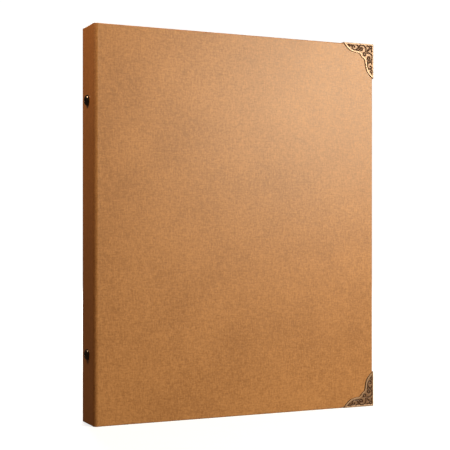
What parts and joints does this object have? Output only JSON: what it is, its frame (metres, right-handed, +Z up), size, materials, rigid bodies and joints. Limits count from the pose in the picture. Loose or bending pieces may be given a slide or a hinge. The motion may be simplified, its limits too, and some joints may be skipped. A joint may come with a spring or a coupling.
{
  "type": "scrapbook album",
  "caption": "Kraft-covered ring-binder scrapbook album with pressed metal corners, a riveted round-ring mechanism with end levers and scored card leaves.",
  "frame": {"origin": "middle of the album's footprint, on the surface that it stands on", "axes": "+Z up along the spine, +X from the spine to the fore edge, -Y out of the front cover"},
  "size_m": [0.257, 0.0336, 0.3158],
  "materials": {
    "kraft": "matt brown kraft paper with fine fibres",
    "liner": "smooth matt kraft lining paper",
    "board": "grey binder's board",
    "card": "kraft card, scored and punched",
    "bronze": "antique bronze plate, dark in the hollows and rubbed bright on the relief",
    "steel": "bright nickel plate",
    "dark_steel": "blackened steel with a worn rim"
  },
  "bodies": {
    "spine": {"spine_wrap": "kraft", "spine_board": "board", "spine_liner": "liner", "front_hinge_strip": "kraft", "back_hinge_strip": "kraft", "ring_rail": "steel", "bottom_lever_pin": "steel", "top_lever_pin": "steel", "bottom_rivet": "dark_steel", "top_rivet": "dark_steel", "leaf_01_margin": "card", "leaf_02_margin": "card", "leaf_03_margin": "card", "leaf_04_margin": "card", "leaf_05_margin": "card", "leaf_06_margin": "card", "leaf_07_margin": "card", "leaf_08_margin": "card", "leaf_09_margin": "card", "leaf_10_margin": "card", "leaf_11_margin": "card", "leaf_12_margin": "card", "leaf_13_margin": "card", "leaf_14_margin": "card"},
    "front_cover": {"front_wrap": "kraft", "front_board": "board", "front_liner": "liner", "front_top_corner": "bronze", "front_bottom_corner": "bronze"},
    "back_cover": {"back_wrap": "kraft", "back_board": "board", "back_liner": "liner", "back_top_corner": "bronze", "back_bottom_corner": "bronze"},
    "front_blade": {"front_blade": "steel", "front_ring_half_1": "steel", "front_ring_half_2": "steel", "front_ring_half_3": "steel", "front_ring_half_4": "steel"},
    "back_blade": {"back_blade": "steel", "back_ring_half_1": "steel", "back_ring_half_2": "steel", "back_ring_half_3": "steel", "back_ring_half_4": "steel"},
    "bottom_lever": {"bottom_lever": "steel"},
    "top_lever": {"top_lever": "steel"},
    "leaf_01": {"leaf_01": "card"},
    "leaf_02": {"leaf_02": "card"},
    "leaf_03": {"leaf_03": "card"},
    "leaf_04": {"leaf_04": "card"},
    "leaf_05": {"leaf_05": "card"},
    "leaf_06": {"leaf_06": "card"},
    "leaf_07": {"leaf_07": "card"},
    "leaf_08": {"leaf_08": "card"},
    "leaf_09": {"leaf_09": "card"},
    "leaf_10": {"leaf_10": "card"},
    "leaf_11": {"leaf_11": "card"},
    "leaf_12": {"leaf_12": "card"},
    "leaf_13": {"leaf_13": "card"},
    "leaf_14": {"leaf_14": "card"}
  },
  "joints": [
    {"name": "front_cover_hinge", "type": "hinge", "parent": "spine", "child": "front_cover", "pos_m": [-0.12545, -0.0152, 0.1575], "axis": [0, 0, -1], "range_deg": [0, 180]},
    {"name": "back_cover_hinge", "type": "hinge", "parent": "spine", "child": "back_cover", "pos_m": [-0.12545, 0.0152, 0.1575], "axis": [0, 0, 1], "range_deg": [0, 180]},
    {"name": "front_rings_open", "type": "hinge", "parent": "spine", "child": "front_blade", "pos_m": [-0.12145, -0.00635, 0.1575], "axis": [0, 0, -1], "range_deg": [0, 6.9]},
    {"name": "back_rings_open", "type": "hinge", "parent": "spine", "child": "back_blade", "pos_m": [-0.12145, 0.00635, 0.1575], "axis": [0, 0, 1], "range_deg": [0, 6.9]},
    {"name": "bottom_lever_press", "type": "hinge", "parent": "spine", "child": "bottom_lever", "pos_m": [-0.12025, 0, 0.0196], "axis": [0, 1, 0], "range_deg": [0, 20]},
    {"name": "top_lever_press", "type": "hinge", "parent": "spine", "child": "top_lever", "pos_m": [-0.12025, 0, 0.2954], "axis": [0, -1, 0], "range_deg": [0, 20]},
    {"name": "leaf_01_turn", "type": "hinge", "parent": "spine", "child": "leaf_01", "pos_m": [-0.09231, -0.00617, 0.1575], "axis": [0, 0, -1], "range_deg": [0, 95]},
    {"name": "leaf_02_turn", "type": "hinge", "parent": "spine", "child": "leaf_02", "pos_m": [-0.09157, -0.00522, 0.1575], "axis": [0, 0, -1], "range_deg": [0, 86]},
    {"name": "leaf_03_turn", "type": "hinge", "parent": "spine", "child": "leaf_03", "pos_m": [-0.091, -0.00428, 0.1575], "axis": [0, 0, -1], "range_deg": [0, 77]},
    {"name": "leaf_04_turn", "type": "hinge", "parent": "spine", "child": "leaf_04", "pos_m": [-0.09057, -0.00332, 0.1575], "axis": [0, 0, -1], "range_deg": [0, 69]},
    {"name": "leaf_05_turn", "type": "hinge", "parent": "spine", "child": "leaf_05", "pos_m": [-0.09026, -0.00237, 0.1575], "axis": [0, 0, -1], "range_deg": [0, 62]},
    {"name": "leaf_06_turn", "type": "hinge", "parent": "spine", "child": "leaf_06", "pos_m": [-0.09006, -0.00143, 0.1575], "axis": [0, 0, -1], "range_deg": [0, 55]},
    {"name": "leaf_07_turn", "type": "hinge", "parent": "spine", "child": "leaf_07", "pos_m": [-0.08996, -0.00047, 0.1575], "axis": [0, 0, -1], "range_deg": [0, 48]},
    {"name": "leaf_08_turn", "type": "hinge", "parent": "spine", "child": "leaf_08", "pos_m": [-0.08996, 0.00047, 0.1575], "axis": [0, 0, 1], "range_deg": [0, 48]},
    {"name": "leaf_09_turn", "type": "hinge", "parent": "spine", "child": "leaf_09", "pos_m": [-0.09006, 0.00143, 0.1575], "axis": [0, 0, 1], "range_deg": [0, 55]},
    {"name": "leaf_10_turn", "type": "hinge", "parent": "spine", "child": "leaf_10", "pos_m": [-0.09026, 0.00237, 0.1575], "axis": [0, 0, 1], "range_deg": [0, 62]},
    {"name": "leaf_11_turn", "type": "hinge", "parent": "spine", "child": "leaf_11", "pos_m": [-0.09057, 0.00332, 0.1575], "axis": [0, 0, 1], "range_deg": [0, 69]},
    {"name": "leaf_12_turn", "type": "hinge", "parent": "spine", "child": "leaf_12", "pos_m": [-0.091, 0.00428, 0.1575], "axis": [0, 0, 1], "range_deg": [0, 77]},
    {"name": "leaf_13_turn", "type": "hinge", "parent": "spine", "child": "leaf_13", "pos_m": [-0.09157, 0.00522, 0.1575], "axis": [0, 0, 1], "range_deg": [0, 86]},
    {"name": "leaf_14_turn", "type": "hinge", "parent": "spine", "child": "leaf_14", "pos_m": [-0.09231, 0.00617, 0.1575], "axis": [0, 0, 1], "range_deg": [0, 95]}
  ],
  "couplings": [
    {"joint": "back_rings_open", "follows": "front_rings_open", "ratio": 1},
    {"joint": "bottom_lever_press", "follows": "front_rings_open", "ratio": 2.898},
    {"joint": "top_lever_press", "follows": "front_rings_open", "ratio": 2.898},
    {"joint": "leaf_01_turn", "follows": "front_cover_hinge", "ratio": 0.52777},
    {"joint": "leaf_02_turn", "follows": "front_cover_hinge", "ratio": 0.47777},
    {"joint": "leaf_03_turn", "follows": "front_cover_hinge", "ratio": 0.42777},
    {"joint": "leaf_04_turn", "follows": "front_cover_hinge", "ratio": 0.38333},
    {"joint": "leaf_05_turn", "follows": "front_cover_hinge", "ratio": 0.34444},
    {"joint": "leaf_06_turn", "follows": "front_cover_hinge", "ratio": 0.30555},
    {"joint": "leaf_07_turn", "follows": "front_cover_hinge", "ratio": 0.26666},
    {"joint": "leaf_08_turn", "follows": "back_cover_hinge", "ratio": 0.26666},
    {"joint": "leaf_09_turn", "follows": "back_cover_hinge", "ratio": 0.30555},
    {"joint": "leaf_10_turn", "follows": "back_cover_hinge", "ratio": 0.34444},
    {"joint": "leaf_11_turn", "follows": "back_cover_hinge", "ratio": 0.38333},
    {"joint": "leaf_12_turn", "follows": "back_cover_hinge", "ratio": 0.42777},
    {"joint": "leaf_13_turn", "follows": "back_cover_hinge", "ratio": 0.47777},
    {"joint": "leaf_14_turn", "follows": "back_cover_hinge", "ratio": 0.52777}
  ]
}
